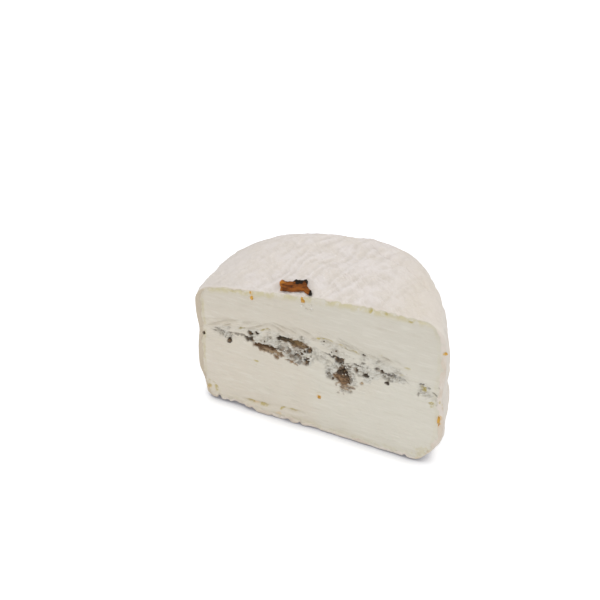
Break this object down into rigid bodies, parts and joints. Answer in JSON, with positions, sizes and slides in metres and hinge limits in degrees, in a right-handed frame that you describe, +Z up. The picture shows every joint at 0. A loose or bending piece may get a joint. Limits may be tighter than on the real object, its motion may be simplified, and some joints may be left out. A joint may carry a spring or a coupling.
{
  "type": "truffle triple cream cheese half",
  "caption": "Half of a small soft-ripened cheese wheel, cut upright through its middle, with a truffle layer and a truffle slice on top.",
  "frame": {"origin": "centre of the flat underside's bounding box, on the surface that the cheese stands on", "axes": "+Z up, -Y out of the flat cut face, +X to the right along the cut"},
  "size_m": [0.0818, 0.0389, 0.0548],
  "materials": {
    "paste": "soft off-white cheese paste, smooth where the knife went through",
    "truffle_paste": "crumbly paste with grated truffle in it",
    "truffle": "dark brown moist truffle flesh",
    "dried_truffle": "dried brown truffle slice with a blackish skin"
  },
  "bodies": {
    "root": {"lower_paste": "paste", "truffle_layer": "truffle_paste", "upper_paste": "paste", "truffle_slice": "dried_truffle", "truffle_shaving_1": "truffle", "truffle_shaving_2": "truffle", "truffle_shaving_3": "truffle"}
  },
  "joints": []
}
